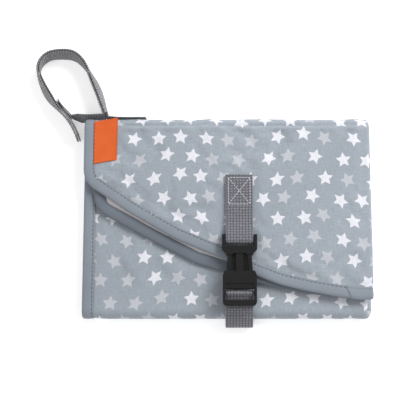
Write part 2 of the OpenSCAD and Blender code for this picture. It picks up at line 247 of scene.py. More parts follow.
class Mat:
    """One end of the mat: its two halves lie together, joined by the centre fold."""

    def __init__(self, wrap, fold_x, start_v, even_v, even_step, outer, inner, relief, uv_sign):
        self.wrap = wrap
        self.fold_x = fold_x
        self.start_v = start_v
        self.even_v = even_v
        self.even_step = even_step
        self.relief = relief
        self.uv_sign = uv_sign
        end_v = outer[-1][1]
        back = [(self.beyond(x, v), v) for x, v in inner[::-1]]
        fold = float(fold_x(np.array(FAR)))
        middle = [(w, end_v) for w in fold + np.linspace(0, FOLD_LEN, 6)[1:-1]]
        self.edge = softened(outer + middle + back, 2 * MM)
        self.inward = right_normals(self.edge)
        self.left = outer[0][0] + TUCK
        self.inner_left = inner[0][0] + TUCK

    def beyond(self, x, v):
        """The w of a point at x on the half beyond the centre fold."""
        return 2 * float(self.fold_x(np.array(float(v)))) + FOLD_LEN - x

    def space(self, w, v, depth):
        """Places in space for cloth coordinates and depths below the printed face."""
        w, v, depth = np.broadcast_arrays(w, v, depth)
        fold = self.fold_x(v)
        turn = np.clip((w - fold) / FOLD_R, 0, math.pi)
        r = FOLD_R - depth
        x = np.where(w < fold, w, fold + r * np.sin(turn))
        x = np.where(w > fold + FOLD_LEN, 2 * fold + FOLD_LEN - w, x)
        return self.wrap(x, v, FOLD_R - r * np.cos(turn))

    def across(self, share, v):
        """w for a share of the way across: 0 to 1, the fold from 1 to 2, then 2 to 3."""
        f = self.fold_x(v)
        return (self.left + np.clip(share, 0, 1) * (f - self.left)
                + np.clip(share - 1, 0, 1) * FOLD_LEN
                + np.clip(share - 2, 0, 1) * (f - self.inner_left))

    def grid(self, step):
        """Cloth coordinates over the whole mat, a little inside its bound edge."""
        inside = self.edge + TUCK * self.inward
        w0, w1 = inside[:, 0].min(), inside[:, 0].max()
        line = inside[(inside[:, 0] > w0 + 0.3 * MM) & (inside[:, 0] < w1 - 0.3 * MM)]
        line = line[np.argsort(line[:, 0], kind="stable")]
        half = np.linspace(0, 1, int((BACK_X - LEFT_X) / step))
        turn = np.linspace(0, 1, 12)[1:-1]
        share = np.concatenate([half, 1 + turn, 2 + half])
        ends = np.interp(self.across(share, np.array(FAR)), line[:, 0], line[:, 1])
        rows = int((self.even_v - self.start_v) / (step * self.even_step))
        even = np.linspace(self.start_v, self.even_v, rows)
        longest = ends.max() - self.even_v
        rest = np.linspace(0, 1, int(longest / step) + 2)[1:]
        v = np.concatenate([np.broadcast_to(even, (len(share), len(even))),
                            self.even_v + (ends[:, None] - self.even_v) * rest[None, :]], axis=1)
        return self.across(share[:, None], v), v

    def ply(self, name, step, q_top, q_under):
        """One ply of the quilt as a closed solid, between two shares of its thickness."""
        w, v = self.grid(step)
        d, along = nearest(self.edge, w, v)
        full = PRESSED + (1 - PRESSED) * ease((d - BIND_W + MM) / (11 * MM))
        raised = self.relief(w, v, d - BIND_W, along)
        walls = []
        for q in (q_top, q_under):
            depth = LAYER / 2 - LAYER * full * (0.5 - q) - raised * (1 - q)
            walls.append(self.space(w, v, depth))
        return slab(name, *walls, coords(w, v * self.uv_sign))

    def along_edge(self, s, d, n):
        """Points at length s along the bound edge, d in from it and n up from its middle."""
        at = lengths(self.edge)
        w = np.interp(s, at, self.edge[:, 0]) + d * np.interp(s, at, self.inward[:, 0])
        v = np.interp(s, at, self.edge[:, 1]) + d * np.interp(s, at, self.inward[:, 1])
        return self.space(w, v, LAYER / 2 - n)


# ------------ meshes

def add_object(name, verts, faces, uv=None, sharp=40):
    """A mesh object, with its normals facing out and one uv for each vertex."""
    mesh = bpy.data.meshes.new(name)
    mesh.from_pydata(np.asarray(verts, float).reshape(-1, 3).tolist(), [], faces)
    bm = bmesh.new()
    bm.from_mesh(mesh)
    bmesh.ops.recalc_face_normals(bm, faces=bm.faces)
    bm.to_mesh(mesh)
    bm.free()
    if uv is not None:
        layer = mesh.uv_layers.new(name="cloth")
        corner = np.empty(len(mesh.loops), np.int32)
        mesh.loops.foreach_get("vertex_index", corner)
        layer.data.foreach_set("uv", np.asarray(uv, float).reshape(-1, 2)[corner].ravel())
    mesh.polygons.foreach_set("use_smooth", np.ones(len(mesh.polygons), bool))
    mesh.set_sharp_from_angle(angle=math.radians(sharp))
    piece = bpy.data.objects.new(name, mesh)
    scene.collection.objects.link(piece)
    return piece


def grid_faces(index):
    return np.stack([index[:-1, :-1], index[1:, :-1], index[1:, 1:], index[:-1, 1:]],
                    axis=-1).reshape(-1, 4)


def slab(name, top, under, uv, sharp=40):
    """A thin closed solid between two grids of points."""
    n, m = top.shape[:2]
    index = np.arange(n * m).reshape(n, m)
    rim = np.concatenate([index[0, :], index[1:, -1], index[-1, -2::-1], index[-2:0:-1, 0]])
    after = np.roll(rim, -1)
    faces = np.vstack([grid_faces(index), grid_faces(index)[:, ::-1] + n * m,
                       np.stack([rim, rim + n * m, after + n * m, after], axis=1)])
    verts = np.vstack([top.reshape(-1, 3), under.reshape(-1, 3)])
    both = np.vstack([uv.reshape(-1, 2), uv.reshape(-1, 2)])
    return add_object(name, verts, faces.tolist(), both, sharp)


def ring_faces(n, m, first=0):
    """Faces of a closed solid of n rings of m points, with flat ends."""
    index = first + np.arange(n * m).reshape(n, m)
    closed = np.hstack([index, index[:, :1]])
    return grid_faces(closed).tolist() + [index[0].tolist(), index[-1][::-1].tolist()]


def tube(name, rings, uv, sharp):
    """A closed solid from equal rings of points."""
    return add_object(name, rings, ring_faces(*rings.shape[:2]), uv, sharp)


def webbing(name, centre, across, width, thick, ribs, groove):
    """A woven strap along a path, with lengthwise ribs and rounded selvedges."""
    p = resample(centre, 0.8 * MM)
    side = unit(np.broadcast_to(across, p.shape))
    up = unit(np.cross(np.gradient(p, axis=0), side))
    s = np.linspace(-1, 1, ribs * 6 + 1)
    rib = np.abs(np.sin(math.pi * ribs * (s + 1) / 2)) ** 0.6
    half = (thick / 2 - groove * (1 - rib)) * np.sqrt(np.clip(1 - np.abs(s) ** 22, 0, 1))
    half = np.maximum(half, 0.12 * MM)
    a = np.concatenate([s, s[::-1]]) * width / 2
    h = np.concatenate([half, -half[::-1]])
    rings = p[:, None, :] + a[None, :, None] * side[:, None] + h[None, :, None] * up[:, None]
    return tube(name, rings, coords(lengths(p)[:, None], a), 50)


def stitch_mesh(name, rows, pitch=3.9 * MM, share=0.64, radius=0.4 * MM):
    """Short thread stitches along rows of (points, normals), joined into one piece."""
    turn = np.linspace(0, 2 * math.pi, 7)[:-1]
    at = np.linspace(-1, 1, 6)
    swell = np.sqrt(np.clip(1.02 - at ** 4, 0, 1))
    verts, faces, count = [], [], 0
    for points, normals in rows:
        s = lengths(points)
        middles = np.arange(pitch / 2, s[-1] - pitch / 3, pitch)
        for middle in middles:
            where = middle + at * pitch * share / 2
            p = np.stack([np.interp(where, s, points[:, k]) for k in range(3)], axis=1)
            n = unit(np.stack([np.interp(where, s, normals[:, k]) for k in range(3)], axis=1))
            side = unit(np.cross(np.gradient(p, axis=0), n))
            p = p - n * (radius * 0.9 * at[:, None] ** 2)
            ring = (p[:, None] + radius * swell[:, None, None]
                    * (np.cos(turn)[None, :, None] * side[:, None]
                       + np.sin(turn)[None, :, None] * n[:, None]))
            faces += ring_faces(*ring.shape[:2], count)
            verts.append(ring.reshape(-1, 3))
            count += len(verts[-1])
    return add_object(name, np.vstack(verts), faces, None, 80)


# ------------ materials

class Shader:
    """Short calls for the nodes of one material."""

    def __init__(self, name, roughness, sheen=0.0, specular=0.3):
        self.material = bpy.data.materials.new(name)
        self.material.use_nodes = True
        self.tree = self.material.node_tree
        self.shader = self.tree.nodes["Principled BSDF"]
        self.feed(self.shader.inputs["Roughness"], roughness)
        self.feed(self.shader.inputs["Sheen Weight"], sheen)
        self.feed(self.shader.inputs["Specular IOR Level"], specular)

    def feed(self, socket, value):
        """Links a socket to another one, or sets its value."""
        if isinstance(value, bpy.types.NodeSocket):
            self.tree.links.new(value, socket)
        else:
            socket.default_value = value

    def node(self, kind, *inputs, **settings):
        """A node whose inputs are sockets or values, in their own order."""
        made = self.tree.nodes.new("ShaderNode" + kind)
        for key, value in settings.items():
            setattr(made, key, value)
        for socket, value in zip(made.inputs, inputs):
            self.feed(socket, value)
        return made

    def math(self, operation, *inputs):
        return self.node("Math", *inputs, operation=operation).outputs[0]

    def uv(self):
        """The cloth coordinates of the surface, in metres."""
        split = self.node("SeparateXYZ", self.node("UVMap", uv_map="cloth").outputs[0])
        return split.outputs[0], split.outputs[1]

    def noise(self, vector, scale, detail=2.0, roughness=0.5):
        made = self.node("TexNoise", vector)
        self.feed(made.inputs["Scale"], scale)
        self.feed(made.inputs["Detail"], detail)
        self.feed(made.inputs["Roughness"], roughness)
        return made.outputs["Fac"]

    def grain(self, scale, detail=2.0, roughness=0.5):
        """Noise fixed to the place in space."""
        return self.noise(self.node("TexCoord").outputs["Object"], scale, detail, roughness)

    def patches(self, scale, detail=3):
        """Soft blotches, from 0 to 1."""
        return self.spread(self.grain(scale, detail), 0.3, 0.7)

    def wave(self, phase):
        """A sine of a phase in radians, from 0 to 1."""
        return self.math("MULTIPLY_ADD", self.math("SINE", phase), 0.5, 0.5)

    def mix(self, factor, a, b):
        """Colour a where the factor is 0 and b where it is 1."""
        made = self.node("Mix", data_type="RGBA")
        for i, value in ((0, factor), (6, a), (7, b)):
            self.feed(made.inputs[i], value)
        return made.outputs[2]

    def spread(self, value, low_in, high_in, low_out=0.0, high_out=1.0):
        """The value carried from one range to another, and held within it."""
        return self.node("MapRange", value, low_in, high_in, low_out, high_out).outputs[0]

    def colour(self, socket):
        self.feed(self.shader.inputs["Base Color"], socket)

    def bump(self, height, distance):
        made = self.node("Bump")
        self.feed(made.inputs["Distance"], distance)
        self.feed(made.inputs["Height"], height)
        self.feed(self.shader.inputs["Normal"], made.outputs[0])


def shade(hex_colour):
    """Linear colour of a screen colour."""
    raw = [int(hex_colour[i:i + 2], 16) / 255 for i in (1, 3, 5)]
    return tuple((c / 12.92 if c <= 0.04045 else ((c + 0.055) / 1.055) ** 2.4) for c in raw) + (1,)


def woven(s, pitch):
    """Height of a plain weave: threads crossing over and under, from 0 to 1."""
    u, v = s.uv()
    a = s.math("SINE", s.math("MULTIPLY", u, 2 * math.pi / pitch))
    b = s.math("SINE", s.math("MULTIPLY", v, 2 * math.pi / pitch))
    return s.math("MULTIPLY_ADD", s.math("MULTIPLY", a, b), 0.5, 0.5)


def slubs(s, u, v, scale_u, scale_v, cut=0.3):
    """Uneven yarns running one way across the cloth, from 0 to 1."""
    yarn = s.node("CombineXYZ", s.math("MULTIPLY", u, float(scale_u)),
                  s.math("MULTIPLY", v, float(scale_v)), 0.0)
    return s.spread(s.noise(yarn.outputs[0], 1.0, 2), cut, 1 - cut)


def wander(s, value, along, period, phase, amount):
    """A coordinate that swings slowly to and fro along the other one."""
    swing = s.math("SINE", s.math("MULTIPLY_ADD", along, 2 * math.pi / period, phase))
    return s.math("MULTIPLY_ADD", swing, amount, value)


def star_distance(s, x, y, turn, radius, waist):
    """How far a place is outside a five-pointed star's outline, which is negative inside it."""
    angle = s.math("ADD", s.math("ARCTAN2", y, x), turn)
    folded = s.math("PINGPONG", angle, math.pi / 5)
    reach = s.math("SQRT", s.math("ADD", s.math("MULTIPLY", x, x), s.math("MULTIPLY", y, y)))
    px = s.math("MULTIPLY", reach, s.math("COSINE", folded))
    py = s.math("MULTIPLY", reach, s.math("SINE", folded))
    run_x = radius * waist * math.cos(math.pi / 5) - radius
    run_y = radius * waist * math.sin(math.pi / 5)
    size = math.hypot(run_x, run_y)
    return s.math("ADD", s.math("MULTIPLY", s.math("SUBTRACT", px, radius), run_y / size),
                  s.math("MULTIPLY", py, -run_x / size))


def star_cloth():
    """Grey quilting cotton with loose rows of white and pale grey stars."""
    pitch, row_pitch, radius, waist = 23.2 * MM, 19.4 * MM, 7.5 * MM, 0.5
    jitter_across, jitter_along, pale_share = 7.4 * MM, 4.2 * MM, 0.38
    ragged_edge, soft_edge = 0.25 * MM, 0.12 * MM
    s = Shader("star_print", 0.86, sheen=0.1, specular=0.2)
    flat_u, flat_v = s.uv()
    v = wander(s, flat_v, flat_u, 118 * MM, 0.7, 2.6 * MM)
    u = wander(s, flat_u, flat_v, 97 * MM, 2.0, 2.2 * MM)
    row = s.math("FLOOR", s.math("DIVIDE", v, row_pitch))
    # Every second row is half a pitch along
    shift = s.math("MULTIPLY", s.math("FLOORED_MODULO", row, 2.0), pitch / 2)
    moved = s.math("ADD", u, shift)
    column = s.math("FLOOR", s.math("DIVIDE", moved, pitch))
    cell = s.node("CombineXYZ", column, row, 3.0).outputs[0]
    random = s.node("TexWhiteNoise", cell, noise_dimensions="3D")
    jitter_u, jitter_v, turn = s.node("SeparateXYZ", random.outputs["Color"]).outputs
    x = s.math("SUBTRACT", s.math("SUBTRACT", moved, s.math("MULTIPLY", column, pitch)), pitch / 2)
    y = s.math("SUBTRACT", s.math("SUBTRACT", v, s.math("MULTIPLY", row, row_pitch)),
               row_pitch / 2)
    x = s.math("ADD", x, s.math("MULTIPLY", s.math("SUBTRACT", jitter_u, 0.5), jitter_across))
    y = s.math("ADD", y, s.math("MULTIPLY", s.math("SUBTRACT", jitter_v, 0.5), jitter_along))
    out = star_distance(s, x, y, s.math("MULTIPLY", turn, 2 * math.pi), radius, waist)
    ragged = s.math("MULTIPLY_ADD", s.grain(900), 2 * ragged_edge, -ragged_edge)
    star = s.spread(s.math("ADD", out, ragged), soft_edge, -soft_edge)
    pale = s.math("GREATER_THAN", random.outputs["Value"], 1 - pale_share)
    tone = s.mix(pale, shade("#F4F4FB"), shade("#C9CCD2"))
    ground = s.mix(s.patches(14), shade("#A8B0B9"), shade("#B2BAC3"))
    warp = slubs(s, flat_u, flat_v, 1500, 130)
    weft = slubs(s, flat_u, flat_v, 130, 1500)
    slub = s.math("MULTIPLY", s.math("ADD", warp, weft), 0.5)
    ground = s.mix(slub, shade("#949CA6"), ground)
    tone = s.mix(s.math("MULTIPLY_ADD", slub, 0.4, 0.6), shade("#A9AEB6"), tone)
    s.colour(s.mix(star, ground, tone))
    s.bump(s.math("ADD", woven(s, 0.7 * MM), s.math("MULTIPLY", slub, 1.4)), 0.12 * MM)
    return s.material


def lining_finish():
    """Pale wipeable lining: a plain weave with heathered patches."""
    s = Shader("lining_knit", 0.8, sheen=0.3, specular=0.22)
    base = s.mix(s.patches(18), shade("#DCD6D8"), shade("#E4DFE0"))
    s.colour(s.mix(s.math("MULTIPLY", s.patches(2200, 1), 0.3), base, shade("#C9C3C7")))
    s.bump(s.math("ADD", woven(s, 1.1 * MM), s.grain(500, 3)), 0.07 * MM)
    return s.material


def twill_finish(name, colours):
    """Bias tape: a fine diagonal twill."""
    pitch = 1.3 * MM
    s = Shader(name, 0.72, sheen=0.25, specular=0.3)
    dull, bright, shadow = map(shade, colours)
    line = s.wave(s.math("MULTIPLY", s.math("ADD", *s.uv()), 2 * math.pi / pitch))
    base = s.mix(s.patches(24), dull, bright)
    s.colour(s.mix(s.math("MULTIPLY", line, 0.35), base, shadow))
    s.bump(s.math("ADD", line, s.grain(700, 3)), 0.09 * MM)
    return s.material


def webbing_finish(name, colours, ribs, width, chevron):
    """Coarse webbing: chevrons in each rib, mottled light and dark yarns, and painted shade in the
    grooves between the ribs.
    """
    s = Shader(name, 0.8, sheen=0.3, specular=0.25)
    dull, bright, shadow = map(shade, colours)
    u, v = s.uv()
    rib = width / ribs
    slant = s.math("PINGPONG", v, rib / 2)
    phase = s.math("MULTIPLY", s.math("ADD", u, s.math("MULTIPLY", slant, 1.1)),
                   2 * math.pi / chevron)
    base = s.mix(slubs(s, u, v, 420, 1500, 0.35), dull, bright)
    # Darker in the grooves between the ribs: painted shade
    groove_shade = s.spread(slant, 0.0, rib * 0.28, 1.0, 0.0)
    dark = s.math("MAXIMUM", s.math("MULTIPLY", s.wave(phase), 0.8), groove_shade)
    s.colour(s.mix(dark, base, shadow))
    s.bump(s.math("SUBTRACT", s.grain(1500), s.math("MULTIPLY", dark, 1.5)), 0.3 * MM)
    return s.material


def pile_finish():
    """Hook-and-loop tape: a dense short pile."""
    s = Shader("loop_pile", 0.95, sheen=0.5, specular=0.1)
    pile = s.spread(s.grain(1300, 3, 0.7), 0.35, 0.65)
    s.colour(s.mix(pile, shade("#47474B"), shade("#77777C")))
    s.bump(pile, 0.35 * MM)
    return s.material


def tag_finish():
    """Orange satin tag: fine crosswise picks and a darker woven border."""
    pick_pitch, side_border, end_border = 0.62 * MM, 0.05, 1.2 * MM
    s = Shader("orange_satin", 0.5, sheen=0.04, specular=0.3)
    u, v = s.uv()
    pick = s.wave(s.math("MULTIPLY", v, 2 * math.pi / pick_pitch))
    thread = slubs(s, u, v, 220, 2600)
    base = s.mix(s.patches(60), shade("#EA5A16"), shade("#F26C24"))
    base = s.mix(s.math("MULTIPLY", thread, 0.5), base, shade("#F08044"))
    rim = s.math("MAXIMUM", s.spread(u, 0.0, side_border, 1.0, 0.0),
                 s.spread(u, 1 - side_border, 1.0))
    rim = s.math("MAXIMUM", rim, s.spread(v, 0.0, end_border, 1.0, 0.0))
    base = s.mix(s.math("MULTIPLY", rim, 0.7), base, shade("#C9480F"))
    s.colour(s.mix(s.math("MULTIPLY", pick, 0.3), base, shade("#D8500F")))
    s.bump(s.math("ADD", pick, s.math("MULTIPLY", thread, 0.8)), 0.12 * MM)
    return s.material


def plastic_finish():
    """Black moulded plastic, satin with a faint grain."""
    s = Shader("black_plastic", 0.34, specular=0.38)
    s.colour(s.mix(s.patches(120), shade("#060607"), shade("#0E0E0F")))
    grain = s.grain(1400, 3, 0.6)
    s.feed(s.shader.inputs["Roughness"], s.spread(grain, 0.3, 0.7, 0.28, 0.42))
    s.bump(grain, 0.02 * MM)
    return s.material


def thread_finish(name, dull, bright):
    """Twisted sewing thread."""
    s = Shader(name, 0.6, sheen=0.3, specular=0.35)
    twist = s.grain(3000, 1)
    s.colour(s.mix(s.spread(twist, 0.35, 0.65), shade(dull), shade(bright)))
    s.bump(twist, 0.1 * MM)
    return s.material


def foam_finish():
    """Pale wadding with fine open cells."""
    s = Shader("foam", 0.9, specular=0.1)
    cells = s.grain(900, 3, 0.7)
    s.colour(s.mix(cells, shade("#E6E2D8"), shade("#F6F3EC")))
    s.bump(cells, 0.2 * MM)
    return s.material


def floor_finish():
    """A pale floor that glows a little, so that it stays white round the soft shadows."""
    s = Shader("pale_floor", 0.7, specular=0.1)
    s.colour(s.mix(s.grain(3, 3), (0.95, 0.95, 0.95, 1), (0.97, 0.97, 0.97, 1)))
    s.feed(s.shader.inputs["Emission Color"], (1, 1, 1, 1))
    s.feed(s.shader.inputs["Emission Strength"], 0.45)
    s.bump(s.grain(200), 0.02 * MM)
    return s.material


STRAP_RIBS, WRIST_RIBS = 9, 7
PRINT = star_cloth()
FOAM = foam_finish()
LINING = lining_finish()
BINDING = twill_finish("binding_twill", ("#868E98", "#9098A2", "#767E87"))
# The same twill, darker: painted shade for the flap's inner half of the binding, which lies under
# the flap
BINDING_PAINTED_SHADE = twill_finish("binding_twill_painted_shade", ("#69717B", "#727A84", "#5D656E"))
WEB_UPPER = webbing_finish("strap_webbing", ("#7D7D86", "#A6A6AE", "#48484F"), STRAP_RIBS,
                           STRAP_W, 2.7 * MM)
WEB_WRIST = webbing_finish("wrist_webbing", ("#8E8E92", "#BCBCC0", "#434347"), WRIST_RIBS,
                           WRIST_W, 2.5 * MM)
PILE = pile_finish()
TAG = tag_finish()
PLASTIC = plastic_finish()
THREAD_LIGHT = thread_finish("light_thread", "#C9C9D0", "#E6E6EA")
THREAD_GREY = thread_finish("grey_thread", "#4D545C", "#697079")


def finish(piece, material, body, nodes=()):
    """Gives a piece its material, hides the frame nodes it stands for, and attaches it to its
    body.

    A body is a name from the frame; crown, slide or peel pieces bend and only get their placement
    baked in.
    """
    piece.data.materials.clear()
    piece.data.materials.append(material)
    if nodes:
        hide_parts(*nodes)
    if body == "crown":
        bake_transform(piece)
    elif body == "slide":
        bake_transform(piece)
    elif body == "peel":
        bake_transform(piece)
    else:
        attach(piece, body)


# ------------ the mat

# In millimetres: the front panel's corner radius, the y of the flap's low right corner, and the
# edges of the flap's outer and inner halves, from the left edge's top to the centre fold
CORNER = 15
FLAP_END = -78
left, front_edge, top = LEFT_X / MM, FRONT_EDGE_Y / MM, TOP_Y / MM
outer_points = [(left, top)] + arc(left + 22, 44, 22, 180, 235) + [
    (-92, 3), (-49, -22), (-4, -41), (24, -55.5), (48, -64.5), (71, -70), (98, -75),
    (120, FLAP_END), (BACK_X / MM, FLAP_END)]
inner_points = [(left + 4, top), (left + 4, 42)] + arc(left + 28, 17, 17.5, 180, 245) + [
    (-72.5, -22.5), (-31, -44), (25, -62), (48, -67.5), (75, -72.5),
    (118, FLAP_END + 0.5), (BACK_X / MM, FLAP_END + 0.5)]


def flap_edge(points):
    """A flap edge as (x, v), from the middle of the top fold to the centre fold."""
    run = [(x * MM, flap_v(y * MM)) for x, y in points]
    return [(run[0][0], SPLIT_V)] + run


def pad_edge():
    """The pad's left edge and the front panel's top edge, as (x, v)."""
    corner = arc(left + CORNER, front_edge - CORNER, CORNER, 180, 90)
    run = [(x * MM, pad_v(y * MM)) for x, y in corner]
    round_fold = [(LEFT_X, v) for v in np.linspace(BACK_V, FRONT_V, 9)]
    return [(LEFT_X, -SPLIT_V)] + round_fold + run + [(FRONT_X, pad_v(FRONT_EDGE_Y))]


# The sheets that settle: how much too large they are, their mesh step and their cloth
CLOTH_GROWTH = 1.013
CLOTH_STEP = 3.6 * MM
CLOTH_FRAMES = 20
CLOTH_SETTINGS = {
    "vertex_group_mass": "sewn", "mass": 0.02, "quality": 8, "tension_stiffness": 30,
    "compression_stiffness": 30, "shear_stiffness": 10, "bending_stiffness": 0.6,
    "shrink_min": 1 - CLOTH_GROWTH, "use_pressure": True, "uniform_pressure_force": 0.6}


def settled_cloth(seed, edge, held):
    """Height of a sheet of the printed cloth, from a cloth simulation, as a lookup by x and y.

    The sheet is sewn down along its edge and wherever held says, and is a little too large
    for its frame, so light pressure from the foam makes it stand in soft puckers.
    """
    x = np.arange(LEFT_X + BIND_W, BACK_X + CLOTH_STEP, CLOTH_STEP)
    y = np.arange(low("flap_shell")[1] - 12 * MM, TOP_Y + 6 * MM, CLOTH_STEP)
    gx, gy = np.meshgrid(x, y, indexing="ij")
    start = waves(seed, 6, 0.15 * MM, 18 * MM, 50 * MM)(gx, gy)
    index = np.arange(gx.size).reshape(gx.shape)
    mesh = bpy.data.meshes.new("settling")
    mesh.from_pydata(coords(gx, gy, start).reshape(-1, 3).tolist(), [],
                     grid_faces(index).tolist())
    sheet = bpy.data.objects.new("settling", mesh)
    scene.collection.objects.link(sheet)
    seam = np.array(sorted(edge)) * MM
    sewn = gy < np.interp(gx, seam[:, 0], seam[:, 1]) + BIND_W + MM
    sewn = sewn | (gx < x[1]) | (gx > x[-2]) | (gy < y[1]) | (gy > y[-2]) | held(gx, gy)
    pinned = sheet.vertex_groups.new(name="sewn")
    pinned.add([int(i) for i in index[sewn]], 1.0, "REPLACE")
    cloth = sheet.modifiers.new("cloth", "CLOTH")
    for key, value in CLOTH_SETTINGS.items():
        setattr(cloth.settings, key, value)
    cloth.settings.effector_weights.gravity = 0
    cloth.collision_settings.use_collision = False
    for number in range(1, CLOTH_FRAMES + 1):
        scene.frame_set(number)
    shown = sheet.evaluated_get(bpy.context.evaluated_depsgraph_get()).to_mesh()
    co = np.empty(len(shown.vertices) * 3)
    shown.vertices.foreach_get("co", co)
    height = co.reshape(*gx.shape, 3)[..., 2]
    bpy.data.objects.remove(sheet)
    scene.frame_set(1)
    height = height - np.median(height)

    def lookup(px, py):
        i = np.clip((px - x[0]) / CLOTH_STEP, 0, len(x) - 1.001)
        j = np.clip((py - y[0]) / CLOTH_STEP, 0, len(y) - 1.001)
        a, b = i.astype(int), j.astype(int)
        s, t = ease(i - a), ease(j - b)
        return ((height[a, b] * (1 - s) + height[a + 1, b] * s) * (1 - t)
                + (height[a, b + 1] * (1 - s) + height[a + 1, b + 1] * s) * t)
    return lookup


def under_strap_or_tag(x, y):
    """Where the flap's printed cloth is held down."""
    strap = (abs(x - STRAP_X) < 13 * MM) & (y < 39 * MM)
    return strap | ((x < -101 * MM) & (y > 46 * MM))


def nowhere(x, y):
    return np.zeros(x.shape, bool)


FLAP_CLOTH = settled_cloth(5, outer_points, under_strap_or_tag)
FRONT_CLOTH = settled_cloth(8, [(left, -200), (BACK_X / MM, -200)], nowhere)
CREASE_V = TOP_R * (math.pi - math.asin(5.2 * MM / TOP_R))
soft = waves(11, 7, 0.30 * MM, 40 * MM, 95 * MM)
ripple = waves(23, 9, 0.16 * MM, 14 * MM, 34 * MM)


def puckers(d, along, amount):
    """Small gathers square to the seam, which die away from it."""
    bend = 2.2 * np.sin(along / (13 * MM)) + 1.3 * np.sin(along / (5.7 * MM) + 1)
    size = 0.7 + 0.5 * np.sin(along / (29 * MM)) * np.sin(along / (11 * MM))
    fade = ease(d / (3 * MM)) * np.exp(-np.clip(d, 0, None) / (11 * MM))
    return amount * size * fade * np.sin(2 * math.pi * along / (10.5 * MM) + bend)


def window(x, low_x, high_x, ramp):
    """1 between two values and 0 outside them, with soft shoulders."""
    return ease((x - low_x + ramp) / ramp) * ease((high_x + ramp - x) / ramp)


def pad_relief(w, v, d, along):
    """How far the printed face stands out: free on the front, hollow on the underside."""
    on_outer = ease((pad_fold_x(v) - w) / FOLD_FADE)
    loose = soft(w, v) + ripple(w, v) + puckers(d, along, 0.34 * MM)
    y = BOTTOM_Y + v - FRONT_V
    open_edge = np.array(inner_points[2:]) * MM
    below = np.interp(w, open_edge[:, 0], open_edge[:, 1]) - y
    most = 0.34 * MM + 0.6 * MM * ease((below - 5 * MM) / (9 * MM))
    front = np.clip(loose + FRONT_CLOTH(w, y), -0.9 * MM, most)
    front = front * window(v, FRONT_V + 6 * MM, FRONT_V + 200 * MM, 10 * MM)
    under = np.clip(loose - 0.4 * MM, -1.0 * MM, 0)
    under = under * window(v, 4 * MM, BACK_V - 6 * MM, 10 * MM)
    # The underside has room for the strap that is sewn to it
    strap = window(w, STRAP_X - 13.2 * MM, STRAP_X + 13.2 * MM, 3 * MM) * (w < BACK_X)
    strap = strap * window(v, TOP_Y - STRAP_END_Y - MM, BACK_V + 4.2 * MM, 4 * MM)
    pocket = np.minimum(under, -1.85 * MM * strap)
    return np.where(strap > 0.02, pocket, front + under) * on_outer


def flap_relief(w, v, d, along):
    """How far the flap's printed face stands out, flat under the strap and the tag."""
    y = TOP_Y - (v - CROWN_V)
    on_outer = ease((BACK_X - w) / FOLD_FADE)
    loose = soft(w, v) + ripple(w, v) + puckers(d, along, 0.55 * MM) + FLAP_CLOTH(w, y)
    strap = window(w, STRAP_X - 14 * MM, STRAP_X + 14 * MM, 6 * MM)
    strap = strap * window(y, -30 * MM, 40 * MM, 6 * MM)
    tag = window(w, -126 * MM, -101 * MM, 5 * MM) * window(y, 46 * MM, 96 * MM, 5 * MM)
    free = 1 - np.maximum(strap, tag)
    groove = np.exp(-((v - CREASE_V) / (1.5 * MM)) ** 2)
    ridge = 0.5 * np.exp(-((v - CREASE_V - 4.5 * MM) / (2.6 * MM)) ** 2)
    crease = -1.7 * MM * (groove - ridge) * (1 + 0.3 * np.sin(w / (21 * MM)))
    raised = np.clip(loose, -1.1 * MM, 1.1 * MM) + crease
    return raised * on_outer * free - 0.25 * MM * strap


PAD = Mat(pad_wrap, pad_fold_x, -SPLIT_V, pad_v(40 * MM), 1.0, pad_edge(), pad_edge(),
          pad_relief, 1)
FLAP = Mat(flap_wrap, flap_fold_x, SPLIT_V, flap_v(50 * MM), 0.5, flap_edge(outer_points),
           flap_edge(inner_points), flap_relief, -1)

PAD_PARTS = ("back", "front", "bottom_fold", "top_fold")
FLAP_PARTS = ("flap", "crown")
FINE = 2.3 * MM
COARSE = 4.5 * MM
# Name, kind of node, material, slot, mesh step, and the shares of the quilt's thickness between
PLIES = (("print", "shell", PRINT, "print", FINE, 0.0, 0.125),
         ("foam", "foam", FOAM, "foam", COARSE, 0.3, 0.82),
         ("lining", "lining", LINING, "lining", COARSE, 0.875, 1.0))


def quilt(mat, title, body, parts):
    """The printed cover, foam and lining of one end of the mat."""
    for label, node, material, slot, step, q_top, q_under in PLIES:
        piece = mat.ply("quilt_" + label + "_" + title, step, q_top, q_under)
        finish(piece, material, body, [part + "_" + node for part in parts])


# Half of the binding's outline, from its inner lip to its rounded outer edge, in mm
LIP = [(11.0, 1.30), (10.7, 1.56), (10.0, 1.60), (9.5, 1.42), (9.1, 1.34), (8.7, 1.42),
       (8.1, 1.64), (6.4, 1.84), (4.2, 1.90), (2.3, 1.80), (1.1, 1.45), (0.4, 0.85)]
HOLLOW = [(11.0, 1.12), (7.0, 1.10), (3.0, 1.08), (1.6, 0.95)]
STITCH_IN, STITCH_UP = 9.1 * MM, 1.40 * MM


def paint_shade_on_inner_half(piece, middle):
    """The tape on the flap's inner half is made darker: painted shade from the flap above it."""
    piece.data.materials.append(BINDING_PAINTED_SHADE)
    layer = piece.data.uv_layers["cloth"].data
    for face in piece.data.polygons:
        if layer[face.loop_start].uv[0] > middle:
            face.material_index = 1


